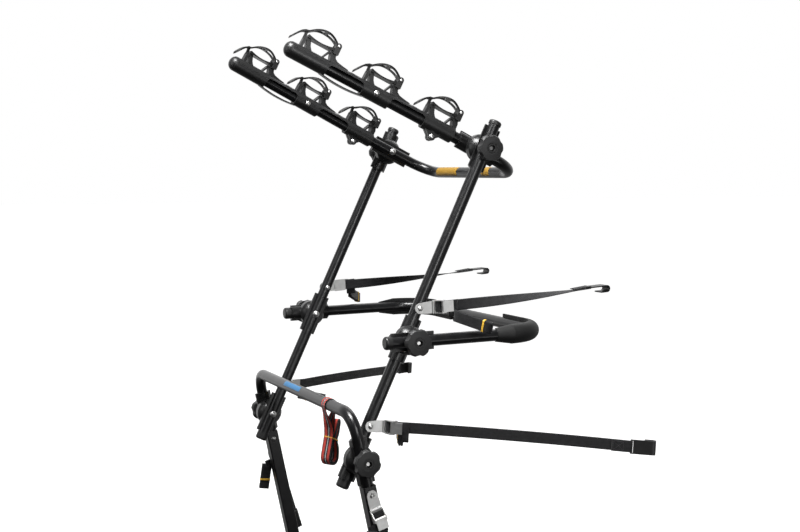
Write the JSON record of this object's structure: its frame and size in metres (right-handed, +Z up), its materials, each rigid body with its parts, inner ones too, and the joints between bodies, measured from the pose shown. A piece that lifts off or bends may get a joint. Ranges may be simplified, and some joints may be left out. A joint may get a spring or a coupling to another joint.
{
  "type": "trunk mounted bike rack",
  "caption": "Folding trunk bike rack: leaning uprights, bent tube bars on knob clamped joints, moulded bike cradles with rubber bands, rubber feet, and hooked cam buckle straps.",
  "frame": {"origin": "midway between the soles of the two rubber feet, in the plane of the soles", "axes": "+X to the car's right, +Y forward to the car, +Z up"},
  "size_m": [1.2778, 0.7776, 1.3569],
  "materials": {
    "tube_paint": "gloss black powder coat",
    "cap_plastic": "satin black",
    "joint_plastic": "satin black, fine moulded grain",
    "beam_plastic": "satin black, fine moulded grain",
    "knob_plastic": "matt black",
    "bolt_zinc": "bright zinc",
    "buckle_zinc": "zinc plated pressing",
    "band_rubber": "matt dark grey",
    "pad_rubber": "matt black",
    "webbing": "woven black",
    "hook_coat": "dipped black coating",
    "tie_webbing": "woven red with black and white stripes"
  },
  "bodies": {
    "frame": {"upright_left": "tube_paint", "upright_right": "tube_paint", "upright_end_caps": "cap_plastic", "upright_joint_shells": "joint_plastic", "upright_pivot_bolts": "bolt_zinc", "strap_anchor_bolts": "bolt_zinc"},
    "carrier": {"top_bar": "tube_paint", "cradle_beam_left": "beam_plastic", "cradle_beam_right": "beam_plastic", "cradle_saddles": "band_rubber", "top_joint_shells": "joint_plastic", "top_pivot_bolts": "bolt_zinc", "beam_bolts": "bolt_zinc"},
    "window_support": {"middle_bar": "tube_paint", "middle_bar_caps": "cap_plastic", "middle_joint_shells": "joint_plastic", "window_pads": "pad_rubber"},
    "lower_support": {"lower_bar": "tube_paint", "leg_left": "tube_paint", "leg_right": "tube_paint", "lower_joint_shells": "joint_plastic", "foot_pads": "pad_rubber", "leg_bolts": "bolt_zinc", "tie_strap": "tie_webbing"},
    "knob_top_left": {"knob_top_left": "knob_plastic"},
    "knob_top_right": {"knob_top_right": "knob_plastic"},
    "knob_middle_left": {"knob_middle_left": "knob_plastic"},
    "knob_middle_right": {"knob_middle_right": "knob_plastic"},
    "knob_lower_left": {"knob_lower_left": "knob_plastic"},
    "knob_lower_right": {"knob_lower_right": "knob_plastic"},
    "band_left_inner": {"cradle_band_left_inner": "band_rubber"},
    "band_left_middle": {"cradle_band_left_middle": "band_rubber"},
    "band_left_outer": {"cradle_band_left_outer": "band_rubber"},
    "band_right_inner": {"cradle_band_right_inner": "band_rubber"},
    "band_right_middle": {"cradle_band_right_middle": "band_rubber"},
    "band_right_outer": {"cradle_band_right_outer": "band_rubber"},
    "upper_strap_left": {"buckle_upper_left": "buckle_zinc", "strap_upper_left": "webbing", "hook_upper_left": "hook_coat"},
    "upper_lever_left": {"lever_upper_left": "buckle_zinc"},
    "upper_strap_right": {"buckle_upper_right": "buckle_zinc", "strap_upper_right": "webbing", "hook_upper_right": "hook_coat"},
    "upper_lever_right": {"lever_upper_right": "buckle_zinc"},
    "side_strap_left": {"buckle_side_left": "buckle_zinc", "strap_side_left": "webbing", "hook_side_left": "hook_coat"},
    "side_lever_left": {"lever_side_left": "buckle_zinc"},
    "side_strap_right": {"buckle_side_right": "buckle_zinc", "strap_side_right": "webbing", "hook_side_right": "hook_coat"},
    "side_lever_right": {"lever_side_right": "buckle_zinc"},
    "lower_strap_left": {"buckle_lower_left": "buckle_zinc", "strap_lower_left": "webbing", "hook_lower_left": "hook_coat"},
    "lower_lever_left": {"lever_lower_left": "buckle_zinc"},
    "lower_strap_right": {"buckle_lower_right": "buckle_zinc", "strap_lower_right": "webbing", "hook_lower_right": "hook_coat"},
    "lower_lever_right": {"lever_lower_right": "buckle_zinc"}
  },
  "joints": [
    {"name": "carrier_fold", "type": "hinge", "parent": "frame", "child": "carrier", "pos_m": [0, 0.23542, 1.09668], "axis": [1, 0, 0], "range_deg": [-60, 90]},
    {"name": "window_support_fold", "type": "hinge", "parent": "frame", "child": "window_support", "pos_m": [0, 0.03402, 0.6687], "axis": [1, 0, 0], "range_deg": [-85, 6]},
    {"name": "lower_support_fold", "type": "hinge", "parent": "frame", "child": "lower_support", "pos_m": [0, -0.08732, 0.41082], "axis": [1, 0, 0], "range_deg": [-20, 75]},
    {"name": "knob_top_left_turn", "type": "hinge", "parent": "frame", "child": "knob_top_left", "pos_m": [0, 0.23542, 1.09668], "axis": [-1, 0, 0], "continuous": true},
    {"name": "knob_top_right_turn", "type": "hinge", "parent": "frame", "child": "knob_top_right", "pos_m": [0, 0.23542, 1.09668], "axis": [1, 0, 0], "continuous": true},
    {"name": "knob_middle_left_turn", "type": "hinge", "parent": "window_support", "child": "knob_middle_left", "pos_m": [0, 0.03402, 0.6687], "axis": [-1, 0, 0], "continuous": true},
    {"name": "knob_middle_right_turn", "type": "hinge", "parent": "window_support", "child": "knob_middle_right", "pos_m": [0, 0.03402, 0.6687], "axis": [1, 0, 0], "continuous": true},
    {"name": "knob_lower_left_turn", "type": "hinge", "parent": "lower_support", "child": "knob_lower_left", "pos_m": [0, -0.08732, 0.41082], "axis": [-1, 0, 0], "continuous": true},
    {"name": "knob_lower_right_turn", "type": "hinge", "parent": "lower_support", "child": "knob_lower_right", "pos_m": [0, -0.08732, 0.41082], "axis": [1, 0, 0], "continuous": true},
    {"name": "band_left_inner_open", "type": "hinge", "parent": "carrier", "child": "band_left_inner", "pos_m": [-0.24162, 0.19275, 1.17771], "axis": [-0.9968, -0.072, 0.0353], "range_deg": [0, 105]},
    {"name": "band_left_middle_open", "type": "hinge", "parent": "carrier", "child": "band_left_middle", "pos_m": [-0.22867, 0.04819, 1.24854], "axis": [-0.9968, -0.072, 0.0353], "range_deg": [0, 105]},
    {"name": "band_left_outer_open", "type": "hinge", "parent": "carrier", "child": "band_left_outer", "pos_m": [-0.21571, -0.09638, 1.31936], "axis": [-0.9968, -0.072, 0.0353], "range_deg": [0, 105]},
    {"name": "band_right_inner_open", "type": "hinge", "parent": "carrier", "child": "band_right_inner", "pos_m": [0.24162, 0.19275, 1.17771], "axis": [-0.9968, 0.072, -0.0353], "range_deg": [0, 105]},
    {"name": "band_right_middle_open", "type": "hinge", "parent": "carrier", "child": "band_right_middle", "pos_m": [0.22867, 0.04819, 1.24854], "axis": [-0.9968, 0.072, -0.0353], "range_deg": [0, 105]},
    {"name": "band_right_outer_open", "type": "hinge", "parent": "carrier", "child": "band_right_outer", "pos_m": [0.21571, -0.09638, 1.31936], "axis": [-0.9968, 0.072, -0.0353], "range_deg": [0, 105]},
    {"name": "upper_strap_left_swivel", "type": "hinge", "parent": "frame", "child": "upper_strap_left", "pos_m": [-0.3023, 0.06638, 0.73747], "axis": [1, 0, 0], "range_deg": [-5, 30]},
    {"name": "upper_lever_left_open", "type": "hinge", "parent": "upper_strap_left", "child": "upper_lever_left", "pos_m": [-0.3159, 0.11876, 0.74103], "axis": [0, -0.068, 0.9977], "range_deg": [0, 60], "stiffness_Nm_per_rad": 0.1, "springref_deg": -17.19},
    {"name": "upper_strap_right_swivel", "type": "hinge", "parent": "frame", "child": "upper_strap_right", "pos_m": [0.3023, 0.06638, 0.73747], "axis": [1, 0, 0], "range_deg": [-5, 30]},
    {"name": "upper_lever_right_open", "type": "hinge", "parent": "upper_strap_right", "child": "upper_lever_right", "pos_m": [0.3159, 0.11876, 0.74103], "axis": [0, 0.068, -0.9977], "range_deg": [0, 60], "stiffness_Nm_per_rad": 0.1, "springref_deg": -17.19},
    {"name": "side_strap_left_swivel", "type": "hinge", "parent": "frame", "child": "side_strap_left", "pos_m": [-0.3023, -0.05496, 0.47959], "axis": [1, 0, 0], "range_deg": [-15, 20]},
    {"name": "side_lever_left_open", "type": "hinge", "parent": "side_strap_left", "child": "side_lever_left", "pos_m": [-0.32583, -0.01205, 0.47719], "axis": [0, 0.0558, 0.9984], "range_deg": [0, 60], "stiffness_Nm_per_rad": 0.1, "springref_deg": -17.19},
    {"name": "side_strap_right_swivel", "type": "hinge", "parent": "frame", "child": "side_strap_right", "pos_m": [0.3023, -0.05496, 0.47959], "axis": [1, 0, 0], "range_deg": [-15, 20]},
    {"name": "side_lever_right_open", "type": "hinge", "parent": "side_strap_right", "child": "side_lever_right", "pos_m": [0.32583, -0.01205, 0.47719], "axis": [0, -0.0558, -0.9984], "range_deg": [0, 60], "stiffness_Nm_per_rad": 0.1, "springref_deg": -17.19},
    {"name": "lower_strap_left_swivel", "type": "hinge", "parent": "lower_support", "child": "lower_strap_left", "pos_m": [-0.35005, -0.07152, 0.33648], "axis": [1, 0, 0], "range_deg": [-5, 20]},
    {"name": "lower_lever_left_open", "type": "hinge", "parent": "lower_strap_left", "child": "lower_lever_left", "pos_m": [-0.36365, -0.05661, 0.28614], "axis": [0, 0.9588, 0.284], "range_deg": [0, 60], "stiffness_Nm_per_rad": 0.1, "springref_deg": -17.19},
    {"name": "lower_strap_right_swivel", "type": "hinge", "parent": "lower_support", "child": "lower_strap_right", "pos_m": [0.35005, -0.07152, 0.33648], "axis": [1, 0, 0], "range_deg": [-5, 20]},
    {"name": "lower_lever_right_open", "type": "hinge", "parent": "lower_strap_right", "child": "lower_lever_right", "pos_m": [0.36365, -0.05661, 0.28614], "axis": [0, -0.9588, -0.284], "range_deg": [0, 60], "stiffness_Nm_per_rad": 0.1, "springref_deg": -17.19}
  ]
}
